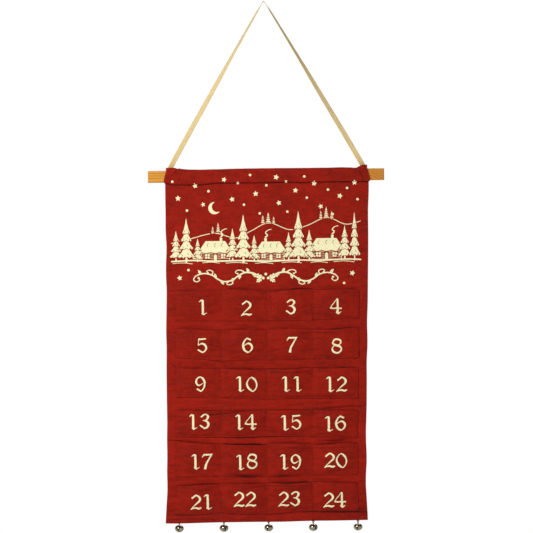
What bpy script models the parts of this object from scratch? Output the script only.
"""A cloth advent calendar that hangs on a wall, modelled piece by piece at its real size.

A wooden slat runs through a casing at the top of the cloth, six strips of pockets are sewn on the
front, jingle bells hang from the hem, and a twisted tape carries everything on one nail.
Metres, +Z up, and the front faces -Y. The origin is where the tape rests on its nail.
"""

import math

import bmesh
import bpy
from mathutils import Vector

# What several pieces share
SEAT_GAP = 0.0003
CUT_OVERRUN = 0.002
CLOTH = 0.0008

# The tape that hangs on the nail
TAPE_WIDTH = 0.010
TAPE_THICKNESS = 0.0008
TAPE_INSET = 0.012
NAIL_RADIUS = 0.0025
HANGER_RISE = 0.336
TAPE_EDGE_BEND_RADIUS = 0.030
TAPE_STRAIGHT_END = 0.002
TAPE_HINGE_GAP = 0.0005
TAPE_STUB = 0.0022
TAPE_FOLD_RADIUS = 0.0007
TAPE_TAIL = 0.022
TAPE_LEG_STEPS = 14

# The slat
SLAT_OVERHANG = 0.034
SLAT_HEIGHT = 0.024
SLAT_THICKNESS = 0.0065
SLAT_BEVEL = 0.0006

# The casing, the sleeve of cloth round the slat
CASING_FLARE = 0.003
CASING_HEIGHT = 0.032
CASING_EASE = 0.00075
CASING_CROWN = 0.001
CASING_SHOULDER_DROP = 0.0006
CASING_LIFT = 0.0035
LIFT_REACH_INWARD = 0.018
LIFT_REACH_OUTWARD = 0.036
CASING_SEAM_HEIGHT = 0.0015
ARCH_STEPS = 5

# The panel
PANEL_WIDTH = 0.406
LAST_STRIP_MARGIN = 0.0125
SIDE_HEM = 0.011

# The pocket strips
POCKET_ROWS = 6
POCKET_COLUMNS = 4
STRIP_INSET = 0.017
STRIP_HEIGHT = 0.0615
ROW_PITCH = 0.079
FIRST_MOUTH_DROP = 0.2485
SEAM_WIDTH = 0.003
POCKET_DEPTH = 0.0095
POCKET_SIDE_POWER = 0.7
POCKET_RISE_POWER = 0.75
POCKET_STEPS_ACROSS = 8
POCKET_STEPS_UP = 4

# The bells and what they hang on
BELL_COUNT = 5
END_BELL_INSET = 0.0214
BELL_DIAMETER = 0.018
BELL_HEIGHT = 0.0143
BELL_WALL = 0.0005
BELL_SEGMENTS = 16
SLOT_WIDTH = 0.0012
SLOT_EYE_DIAMETER = 0.0028
SLOT_EYE_HEIGHT_SHARE = 0.5
SLOT_TURNS = (8, -14, 4, 31, -6)
PEA_DIAMETER = 0.0045
THREAD_DIAMETER = 0.0008
THREAD_LOOP_WIDTH = 0.0030
THREAD_LOOP_HEIGHT = 0.0042
WIRE_DIAMETER = 0.0007
SHANK_SPAN = 0.0027
SHANK_RISE = 0.00085
SHANK_FOOT = 0.0018
SHANK_FOOT_BEND = 0.0005

# A bell's outline from its crown to the hole between its petals: shares of its radius and height
BELL_RADIUS_SHARES = (0.39, 0.71, 0.92, 1.0, 0.95, 0.79, 0.52, 0.19)
BELL_DEPTH_SHARES = (0.025, 0.11, 0.26, 0.43, 0.61, 0.79, 0.92, 1.0)

# Widths that follow from the panel's
CASING_LENGTH = PANEL_WIDTH + 2 * CASING_FLARE
SLAT_LENGTH = CASING_LENGTH + 2 * SLAT_OVERHANG
TAPE_SPREAD = CASING_LENGTH / 2 - TAPE_INSET
STRIP_WIDTH = PANEL_WIDTH - 2 * STRIP_INSET
POCKET_WIDTH = STRIP_WIDTH / POCKET_COLUMNS
BELL_SPACING = (PANEL_WIDTH - 2 * END_BELL_INSET) / (BELL_COUNT - 1)

# Heights that follow from the sizes above
CLOTH_DROP = FIRST_MOUTH_DROP + (POCKET_ROWS - 1) * ROW_PITCH + STRIP_HEIGHT + LAST_STRIP_MARGIN
CASING_TOP = -HANGER_RISE - CASING_LIFT
SLAT_TOP = CASING_TOP - CLOTH - CASING_CROWN
CASING_BOTTOM = CASING_TOP - CASING_HEIGHT
PANEL_TOP = CASING_BOTTOM - SEAT_GAP
PANEL_BOTTOM = CASING_TOP - CLOTH_DROP
BOTTOM_HEM = LAST_STRIP_MARGIN - SEAT_GAP
TAPE_HINGE = -HANGER_RISE + TAPE_STUB
THREAD_LOOP_TOP = PANEL_BOTTOM - SEAT_GAP
THREAD_LOOP_HALF = THREAD_LOOP_WIDTH / 2
THREAD_PIVOT = THREAD_LOOP_TOP - THREAD_LOOP_HALF
BELL_PIVOT = THREAD_LOOP_TOP - THREAD_LOOP_HEIGHT + THREAD_DIAMETER / 2
SHANK_ARCH_TOP = THREAD_LOOP_TOP - THREAD_LOOP_HEIGHT + THREAD_LOOP_HALF
BELL_TOP = SHANK_ARCH_TOP - SHANK_SPAN / 2 - SHANK_RISE

MATERIALS = {
    "red_cotton": ((0.270, 0.014, 0.009), 0.92, 0.0),
    "cream_tape": ((0.800, 0.640, 0.340), 0.90, 0.0),
    "pine": ((0.600, 0.290, 0.060), 0.55, 0.0),
    "nickel": ((0.560, 0.530, 0.480), 0.25, 1.0),
    "steel": ((0.420, 0.420, 0.430), 0.35, 1.0),
    "red_thread": ((0.220, 0.010, 0.010), 0.90, 0.0),
}


def clear_scene():
    for obj in list(bpy.data.objects):
        bpy.data.objects.remove(obj, do_unlink=True)


def material(name):
    """One of the object's finishes, made the first time that it is asked for."""
    found = bpy.data.materials.get(name)
    if found:
        return found
    colour, roughness, metallic = MATERIALS[name]
    made = bpy.data.materials.new(name)
    made.use_nodes = True
    shader = made.node_tree.nodes["Principled BSDF"]
    shader.inputs["Base Color"].default_value = (*colour, 1.0)
    shader.inputs["Roughness"].default_value = roughness
    shader.inputs["Metallic"].default_value = metallic
    made.diffuse_color = (*colour, 1.0)
    return made


def add_pivot(name, place, parent=None):
    """An empty on a joint's axis. Its place is in the world."""
    pivot = bpy.data.objects.new(name, None)
    bpy.context.scene.collection.objects.link(pivot)
    above = parent.matrix_world.translation if parent else Vector()
    pivot.parent = parent
    pivot.location = Vector(place) - above
    bpy.context.view_layer.update()
    return pivot


def add_piece(name, mesh, finish, pivot=None, place=(0.0, 0.0, 0.0)):
    """A named piece whose mesh is drawn round its own place in the world."""
    piece = bpy.data.objects.new(name, mesh)
    bpy.context.scene.collection.objects.link(piece)
    mesh.materials.clear()
    mesh.materials.append(material(finish))
    piece.parent = pivot
    piece.location = Vector(place) - (pivot.matrix_world.translation if pivot else Vector())
    return piece


def finish_mesh(name, shape, smooth_angle=None):
    """Turns a bmesh into a mesh with its faces pointing out."""
    bmesh.ops.recalc_face_normals(shape, faces=shape.faces)
    mesh = bpy.data.meshes.new(name)
    shape.to_mesh(mesh)
    shape.free()
    if smooth_angle is not None:
        mesh.shade_smooth()
        mesh.set_sharp_from_angle(angle=smooth_angle)
    return mesh


def skin_rings(name, rings, closed=False):
    """A solid through rings of points: capped at both ends, or joined into a loop."""
    shape = bmesh.new()
    made = [[shape.verts.new(point) for point in ring] for ring in rings]
    count = len(made[0])
    pairs = list(zip(made, made[1:])) + ([(made[-1], made[0])] if closed else [])
    for first, second in pairs:
        for i in range(count):
            j = (i + 1) % count
            shape.faces.new((first[i], first[j], second[j], second[i]))
    if not closed:
        shape.faces.new(made[0])
        shape.faces.new(made[-1])
    return finish_mesh(name, shape, math.radians(40))


def tangents(points, closed=False):
    """The direction of travel at each point of a path."""
    found = []
    last = len(points) - 1
    for i in range(len(points)):
        before = points[i - 1] if i or closed else points[0]
        after = points[(i + 1) % len(points)] if i < last or closed else points[last]
        found.append((after - before).normalized())
    return found


def tube(name, points, diameter, flat_normal, sides, closed=False):
    """A round rod along a path that lies in one plane."""
    rings = []
    for point, along in zip(points, tangents(points, closed)):
        across = along.cross(flat_normal).normalized()
        ring = []
        for k in range(sides):
            angle = 2 * math.pi * k / sides
            ring.append(point + diameter / 2 * (math.cos(angle) * across + math.sin(angle) * flat_normal))
        rings.append(ring)
    return skin_rings(name, rings, closed)


def band(name, points, widths, width, thickness):
    """A flat tape along a path: widths are the directions that its width lies in."""
    rings = []
    for point, wide, along in zip(points, widths, tangents(points)):
        across = (wide - wide.dot(along) * along).normalized()
        normal = along.cross(across)
        side, face = across * width / 2, normal * thickness / 2
        rings.append([point - side - face, point + side - face, point + side + face, point - side + face])
    return skin_rings(name, rings)


def arc(centre, radius, start, end, steps, across, up):
    """Points of an arc in the plane of two directions, from one angle to another."""
    found = []
    for i in range(steps + 1):
        angle = start + (end - start) * i / steps
        found.append(centre + radius * (math.cos(angle) * across + math.sin(angle) * up))
    return found


def turned(name, profile, segments):
    """A closed shape turned about Z: the profile runs from the axis back to the axis."""
    shape = bmesh.new()
    rings = []
    for radius, height in profile:
        if radius == 0:
            rings.append([shape.verts.new((0, 0, height))])
            continue
        ring = []
        for k in range(segments):
            angle = 2 * math.pi * k / segments
            ring.append(shape.verts.new((radius * math.cos(angle), radius * math.sin(angle), height)))
        rings.append(ring)
    for upper, lower in zip(rings, rings[1:]):
        for k in range(segments):
            a, b = upper[k % len(upper)], upper[(k + 1) % len(upper)]
            c, d = lower[(k + 1) % len(lower)], lower[k % len(lower)]
            shape.faces.new(tuple(dict.fromkeys((a, b, c, d))))
    return finish_mesh(name, shape, math.radians(50))


def block(low, high):
    """A box between two corners, as a bmesh."""
    shape = bmesh.new()
    bmesh.ops.create_cube(shape, size=1)
    size = Vector(high) - Vector(low)
    middle = (Vector(high) + Vector(low)) / 2
    for vert in shape.verts:
        vert.co = Vector(c * s for c, s in zip(vert.co, size)) + middle
    return shape


def cut_away(mesh, cutters):
    """The mesh with each cutter's shape taken out of it."""
    body = bpy.data.objects.new("blank", mesh)
    helpers = [body]
    bpy.context.scene.collection.objects.link(body)
    for cutter_mesh in cutters:
        cutter = bpy.data.objects.new("cutter", cutter_mesh)
        cutter.hide_render = True
        cutter.display_type = "WIRE"
        bpy.context.scene.collection.objects.link(cutter)
        helpers.append(cutter)
        cut = body.modifiers.new("cut", "BOOLEAN")
        cut.operation = "DIFFERENCE"
        cut.object = cutter
    bpy.context.view_layer.update()
    graph = bpy.context.evaluated_depsgraph_get()
    result = bpy.data.meshes.new_from_object(body.evaluated_get(graph))
    result.name = mesh.name
    for helper in helpers:
        bpy.data.objects.remove(helper, do_unlink=True)
    result.shade_smooth()
    result.set_sharp_from_angle(angle=math.radians(50))
    return result


def hanger_stations():
    """Points and width directions of the tape's right half, from the nail down to its hinge."""
    x, y, z = Vector((1, 0, 0)), Vector((0, 1, 0)), Vector((0, 0, 1))
    nail = -NAIL_RADIUS * z
    wrap_radius = NAIL_RADIUS + TAPE_THICKNESS / 2
    lower_end = Vector((TAPE_SPREAD, 0, TAPE_HINGE + TAPE_HINGE_GAP))
    bend_start = lower_end + TAPE_STRAIGHT_END * z
    # The leg leaves the nail and meets the edgewise bend on a line that touches both circles.
    bend_centre = bend_start - TAPE_EDGE_BEND_RADIUS * x
    across = bend_centre - nail
    reach = across.length
    lean = math.atan2(across.x, -across.z)
    slope = lean + math.asin((TAPE_EDGE_BEND_RADIUS - wrap_radius) / reach)
    wrap = arc(nail, wrap_radius, math.pi / 2, slope, 4, x, z)
    bend = arc(bend_centre, TAPE_EDGE_BEND_RADIUS, slope, 0, 4, x, z)
    leg = [wrap[-1].lerp(bend[0], i / TAPE_LEG_STEPS) for i in range(1, TAPE_LEG_STEPS)]
    points = wrap + leg + bend + [lower_end]
    outward = Vector((math.cos(slope), 0, math.sin(slope)))
    widths = [y] * len(wrap)
    for i in range(1, TAPE_LEG_STEPS):
        twist = math.pi / 2 * i / TAPE_LEG_STEPS
        widths.append(math.cos(twist) * y + math.sin(twist) * outward)
    widths += [(point - bend_centre).normalized() for point in bend] + [x]
    return points, widths


def make_hanger():
    points, widths = hanger_stations()
    mirrored = [Vector((-p.x, p.y, p.z)) for p in points[:0:-1]]
    mirrored_widths = [Vector((-w.x, w.y, w.z)) for w in widths[:0:-1]]
    mesh = band("hanger_tape", mirrored + points, mirrored_widths + widths, TAPE_WIDTH, TAPE_THICKNESS)
    return add_piece("hanger_tape", mesh, "cream_tape")


def arch(half_width, rise, shoulder, steps, start=0.0):
    """Points of half an elliptical arch from near its crown to its shoulder, as (y, z)."""
    found = []
    for i in range(steps + 1):
        angle = start + (math.pi / 2 - start) * i / steps
        found.append((half_width * math.sin(angle), shoulder + rise * math.cos(angle)))
    return found


def make_tape_tail(name, side, pivot):
    """The sewn end of the tape: it folds back over the lifted casing and runs down behind it."""
    offset = CLOTH + SEAT_GAP + TAPE_THICKNESS / 2
    shoulder = SLAT_TOP - CASING_SHOULDER_DROP
    rise = CASING_CROWN + CASING_SHOULDER_DROP + CASING_LIFT + offset
    half = SLAT_THICKNESS / 2 + CASING_EASE + offset
    crown = shoulder + rise
    x = Vector((1, 0, 0))
    y, z = Vector((0, 1, 0)), Vector((0, 0, 1))
    fold_centre = Vector((0, TAPE_FOLD_RADIUS, crown + TAPE_FOLD_RADIUS))
    points = [TAPE_HINGE * z]
    points += arc(fold_centre, TAPE_FOLD_RADIUS, math.pi, 3 * math.pi / 2, 4, y, z)
    past_fold = 2 * math.asin(TAPE_FOLD_RADIUS / half)
    points += [Vector((0, a, b)) for a, b in arch(half, rise, shoulder, 6, past_fold)]
    points.append(Vector((0, half, shoulder - TAPE_TAIL / 2)))
    points.append(Vector((0, half, shoulder - TAPE_TAIL)))
    place = Vector((side * TAPE_SPREAD, 0, TAPE_HINGE))
    local = [point - TAPE_HINGE * z for point in points]
    mesh = band(name, local, [x] * len(local), TAPE_WIDTH, TAPE_THICKNESS)
    return add_piece(name, mesh, "cream_tape", pivot, place)


def make_slat(pivot):
    half = Vector((SLAT_LENGTH / 2, SLAT_THICKNESS / 2, SLAT_HEIGHT / 2))
    shape = block(-half, half)
    bmesh.ops.bevel(
        shape, geom=list(shape.edges), offset=SLAT_BEVEL, segments=1, affect="EDGES", profile=0.5
    )
    mesh = finish_mesh("slat", shape)
    return add_piece("slat", mesh, "pine", pivot, (0, 0, SLAT_TOP - SLAT_HEIGHT / 2))


def casing_lift(x):
    """How far the tapes pull the crown of the casing up at x."""
    beyond = abs(x) - TAPE_SPREAD
    reach = LIFT_REACH_OUTWARD if beyond > 0 else LIFT_REACH_INWARD
    fade = min(1.0, abs(beyond) / reach)
    return CASING_LIFT * math.cos(math.pi / 2 * fade) ** 2


def casing_half_outline(extra, lift):
    """Half the sleeve's section, from its crown to the seam: extra 0 is its inner face."""
    half = SLAT_THICKNESS / 2 + CASING_EASE + extra
    rise = CASING_CROWN + CASING_SHOULDER_DROP + extra + lift
    shoulder = SLAT_TOP - CASING_SHOULDER_DROP
    slat_bottom = SLAT_TOP - SLAT_HEIGHT
    seam = CASING_BOTTOM + CASING_SEAM_HEIGHT * (1 - extra / CLOTH)
    closing = slat_bottom - seam
    points = arch(half, rise, shoulder, ARCH_STEPS)
    points.append((half, slat_bottom))
    points.append((half - (half - extra) / 4, slat_bottom - closing / 3))
    points.append((extra + SEAT_GAP, seam))
    return points


def make_casing(pivot):
    """The top of the cloth, folded back over the slat and sewn down under it."""
    half_length = CASING_LENGTH / 2
    inner_start = TAPE_SPREAD - LIFT_REACH_INWARD
    stations = [half_length, TAPE_SPREAD, TAPE_SPREAD - LIFT_REACH_INWARD / 2, inner_start, inner_start / 2]
    stations = [-x for x in stations] + [0.0] + stations[::-1]
    shape = bmesh.new()
    rings = []
    for x in stations:
        lift = casing_lift(x)
        layers = []
        for extra in (CLOTH, 0.0):
            back = casing_half_outline(extra, lift)
            outline = back + [(-y, z) for y, z in reversed(back[1:])]
            layers.append([shape.verts.new((x, y, z - CASING_TOP)) for y, z in outline])
        rings.append(layers)
    count = len(rings[0][0])
    for near, far in zip(rings, rings[1:]):
        for layer in (0, 1):
            for i in range(count):
                j = (i + 1) % count
                shape.faces.new((near[layer][i], near[layer][j], far[layer][j], far[layer][i]))
    for outer, inner in (rings[0], rings[-1]):
        for i in range(count):
            j = (i + 1) % count
            shape.faces.new((outer[i], outer[j], inner[j], inner[i]))
    mesh = finish_mesh("rod_casing", shape, math.radians(60))
    return add_piece("rod_casing", mesh, "red_cotton", pivot, (0, 0, CASING_TOP))


def make_panel(pivot):
    """The cloth below the casing, with its hems standing proud in front and a flat back."""
    half = PANEL_WIDTH / 2
    xs = (-half, SIDE_HEM - half, half - SIDE_HEM, half)
    zs = (0.0, BOTTOM_HEM, PANEL_TOP - PANEL_BOTTOM)
    shape = bmesh.new()
    grid = [[shape.verts.new((x, CLOTH / 2, z)) for x in xs] for z in zs]
    for lower, upper in zip(grid, grid[1:]):
        for i in range(len(xs) - 1):
            shape.faces.new((lower[i], lower[i + 1], upper[i + 1], upper[i]))

    def pull_forward(faces):
        moved = bmesh.ops.extrude_face_region(shape, geom=faces)["geom"]
        for vert in [g for g in moved if isinstance(g, bmesh.types.BMVert)]:
            vert.co.y -= CLOTH
        return [g for g in moved if isinstance(g, bmesh.types.BMFace)]

    front = pull_forward(list(shape.faces))
    back = [[shape.verts.new((x, CLOTH / 2, z)) for x in xs] for z in zs]
    for lower, upper in zip(back, back[1:]):
        for i in range(len(xs) - 1):
            shape.faces.new((lower[i], upper[i], upper[i + 1], lower[i + 1]))
    hems = []
    for face in front:
        middle = face.calc_center_median()
        if abs(middle.x) > half - SIDE_HEM or middle.z < BOTTOM_HEM:
            hems.append(face)
    pull_forward(hems)
    bmesh.ops.delete(shape, geom=hems, context="FACES_ONLY")
    bmesh.ops.remove_doubles(shape, verts=shape.verts, dist=SEAT_GAP / 3)
    mesh = finish_mesh("panel", shape)
    return add_piece("panel", mesh, "red_cotton", pivot, (0, 0, PANEL_BOTTOM))


def belly(across, up):
    """How far a pocket stands off the panel: across runs -1 to 1, up runs 0 at the seam to 1."""
    side = max(0.0, math.cos(math.pi / 2 * across)) ** POCKET_SIDE_POWER
    rise = math.sin(math.pi / 2 * up) ** POCKET_RISE_POWER if up > 0 else 0.0
    return POCKET_DEPTH * side * rise


def strip_columns():
    """x and the place across a pocket, for each column of points of a strip."""
    found = []
    open_half = (POCKET_WIDTH - SEAM_WIDTH) / 2
    for pocket in range(POCKET_COLUMNS):
        middle = -STRIP_WIDTH / 2 + (pocket + 0.5) * POCKET_WIDTH
        for i in range(POCKET_STEPS_ACROSS + 1):
            across = math.sin(math.pi / 2 * (2 * i / POCKET_STEPS_ACROSS - 1))
            found.append((middle + across * open_half, across))
    return [(-STRIP_WIDTH / 2, -1.0)] + found + [(STRIP_WIDTH / 2, 1.0)]


def make_pocket_strip(row, pivot):
    """A strip of cloth sewn down along its bottom and between its pockets, open at the top."""
    columns = strip_columns()
    heights = [(0.0, 0.0)]
    for i in range(POCKET_STEPS_UP + 1):
        up = i / POCKET_STEPS_UP
        heights.append((SEAM_WIDTH + up * (STRIP_HEIGHT - SEAM_WIDTH), up))
    shape = bmesh.new()
    faces = []
    for extra in (0.0, CLOTH):
        layer = []
        for z, up in heights:
            line = []
            for x, across in columns:
                line.append(shape.verts.new((x, -belly(across, up) - extra, z)))
            layer.append(line)
        faces.append(layer)
    back, front = faces
    for layer in faces:
        for lower, upper in zip(layer, layer[1:]):
            for i in range(len(columns) - 1):
                shape.faces.new((lower[i], lower[i + 1], upper[i + 1], upper[i]))
    for line_back, line_front in ((back[0], front[0]), (back[-1], front[-1])):
        for i in range(len(columns) - 1):
            shape.faces.new((line_back[i], line_back[i + 1], line_front[i + 1], line_front[i]))
    for i in (0, -1):
        for j in range(len(heights) - 1):
            shape.faces.new((back[j][i], back[j + 1][i], front[j + 1][i], front[j][i]))
    name = f"pocket_strip_{row + 1}"
    mouth = CASING_TOP - FIRST_MOUTH_DROP - row * ROW_PITCH
    mesh = finish_mesh(name, shape, math.radians(40))
    return add_piece(name, mesh, "red_cotton", pivot, (0, -CLOTH / 2 - SEAT_GAP, mouth - STRIP_HEIGHT))


def make_thread_loop(name, pivot):
    """The loop of thread under the hem that a bell hangs in, seen edge on from the front."""
    y, z = Vector((0, 1, 0)), Vector((0, 0, 1))
    radius = (THREAD_LOOP_WIDTH - THREAD_DIAMETER) / 2
    run = THREAD_LOOP_HEIGHT - THREAD_LOOP_WIDTH
    upper = arc(Vector(), radius, 0, math.pi, 5, y, z)
    lower = arc(-run * z, radius, math.pi, 2 * math.pi, 5, y, z)
    mesh = tube(name, upper + lower, THREAD_DIAMETER, Vector((1, 0, 0)), 6, closed=True)
    place = pivot.matrix_world.translation
    return add_piece(name, mesh, "red_thread", pivot, place)


def make_shank(name, pivot, place):
    """The wire staple at a bell's top: an eye outside and two feet bent out inside."""
    x, z = Vector((1, 0, 0)), Vector((0, 0, 1))
    half = SHANK_SPAN / 2
    dome_drop = BELL_DEPTH_SHARES[0] * (BELL_HEIGHT - 2 * BELL_WALL)
    foot = -BELL_WALL - dome_drop - SEAT_GAP - WIRE_DIAMETER / 2
    eye = arc(SHANK_RISE * z, half, math.pi, 0, 8, x, z)
    bend_centre = (half + SHANK_FOOT_BEND) * x + (foot + SHANK_FOOT_BEND) * z
    right = arc(bend_centre, SHANK_FOOT_BEND, math.pi, 3 * math.pi / 2, 3, x, z)
    right.append((half + SHANK_FOOT) * x + foot * z)
    left = [Vector((-p.x, p.y, p.z)) for p in reversed(right)]
    mesh = tube(name, left + eye + right, WIRE_DIAMETER, Vector((0, 1, 0)), 6)
    return add_piece(name, mesh, "nickel", pivot, place)


def bell_profile():
    """The wall's section, from the crown outside round the petals' tips to the crown inside."""
    outer = [(0.0, 0.0)]
    inner = [(0.0, -BELL_WALL)]
    for radius_share, depth_share in zip(BELL_RADIUS_SHARES, BELL_DEPTH_SHARES):
        outer.append((radius_share * BELL_DIAMETER / 2, -depth_share * BELL_HEIGHT))
        inner_depth = BELL_WALL + depth_share * (BELL_HEIGHT - 2 * BELL_WALL)
        inner.append((radius_share * (BELL_DIAMETER / 2 - BELL_WALL), -inner_depth))
    return outer + inner[::-1]


def rod_mesh(diameter, length, direction, centre):
    """A straight round rod, used as a cutter."""
    upright = Vector((0, 0, 1))
    level = upright if abs(direction.z) < 0.5 else Vector((0, 1, 0))
    ends = [centre - direction * length / 2, centre + direction * length / 2]
    return tube("rod", ends, diameter, level, 12)


def make_bell_shell(name, turn, pivot, place):
    """A round shell with four petals, parted by two crossed slots that end in eyes."""
    shell = turned(name, bell_profile(), BELL_SEGMENTS)
    reach = BELL_DIAMETER + 2 * CUT_OVERRUN
    eye_height = -SLOT_EYE_HEIGHT_SHARE * BELL_HEIGHT
    cutters = []
    for quarter in (0, 1):
        angle = math.radians(turn + 90 * quarter)
        along = Vector((math.cos(angle), math.sin(angle), 0))
        half = Vector((reach / 2, SLOT_WIDTH / 2, 0))
        slot = block((-half.x, -half.y, -BELL_HEIGHT - CUT_OVERRUN), (half.x, half.y, eye_height))
        for vert in slot.verts:
            across = Vector((-along.y, along.x, 0))
            vert.co = vert.co.x * along + vert.co.y * across + Vector((0, 0, vert.co.z))
        cutters.append(finish_mesh("slot", slot))
        cutters.append(rod_mesh(SLOT_EYE_DIAMETER, reach, along, Vector((0, 0, eye_height))))
    for side in (-1, 1):
        centre = Vector((side * SHANK_SPAN / 2, 0, -BELL_WALL))
        hole = WIRE_DIAMETER + 2 * SEAT_GAP
        cutters.append(rod_mesh(hole, 2 * CUT_OVERRUN, Vector((0, 0, 1)), centre))
    return add_piece(name, cut_away(shell, cutters), "nickel", pivot, place)


def pea_rest_height():
    """The height of the pea's centre when it lies among the petals, from the bell's crown."""
    return -BELL_HEIGHT + BELL_WALL + SEAT_GAP + PEA_DIAMETER / 2


def make_pea(name, pivot):
    """The loose steel ball that rings the bell."""
    shape = bmesh.new()
    bmesh.ops.create_uvsphere(shape, u_segments=12, v_segments=7, radius=PEA_DIAMETER / 2)
    mesh = finish_mesh(name, shape, math.radians(80))
    return add_piece(name, mesh, "steel", pivot, pivot.matrix_world.translation)


def make_bell(index, panel_pivot):
    """A thread loop, and on it a bell with its shank and pea, each on its own pivot."""
    number = index + 1
    x = (index - (BELL_COUNT - 1) / 2) * BELL_SPACING
    thread_pivot = add_pivot(f"thread_swing_pivot_{number}", (x, 0, THREAD_PIVOT), panel_pivot)
    make_thread_loop(f"bell_thread_{number}", thread_pivot)
    bell_pivot = add_pivot(f"bell_swing_pivot_{number}", (x, 0, BELL_PIVOT), thread_pivot)
    crown = (x, 0, BELL_TOP)
    make_shank(f"bell_shank_{number}", bell_pivot, crown)
    make_bell_shell(f"bell_shell_{number}", SLOT_TURNS[index], bell_pivot, crown)
    pea_place = (x, 0, BELL_TOP + pea_rest_height())
    pea_pivot = add_pivot(f"pea_pivot_{number}", pea_place, bell_pivot)
    make_pea(f"bell_pea_{number}", pea_pivot)


def main():
    clear_scene()
    make_hanger()
    panel_pivot = add_pivot("panel_swing_pivot", (0, 0, TAPE_HINGE))
    make_tape_tail("tape_tail_left", -1, panel_pivot)
    make_tape_tail("tape_tail_right", 1, panel_pivot)
    make_casing(panel_pivot)
    make_slat(add_pivot("slat_slide_pivot", (0, 0, SLAT_TOP - SLAT_HEIGHT / 2), panel_pivot))
    make_panel(panel_pivot)
    for row in range(POCKET_ROWS):
        make_pocket_strip(row, panel_pivot)
    for index in range(BELL_COUNT):
        make_bell(index, panel_pivot)


main()
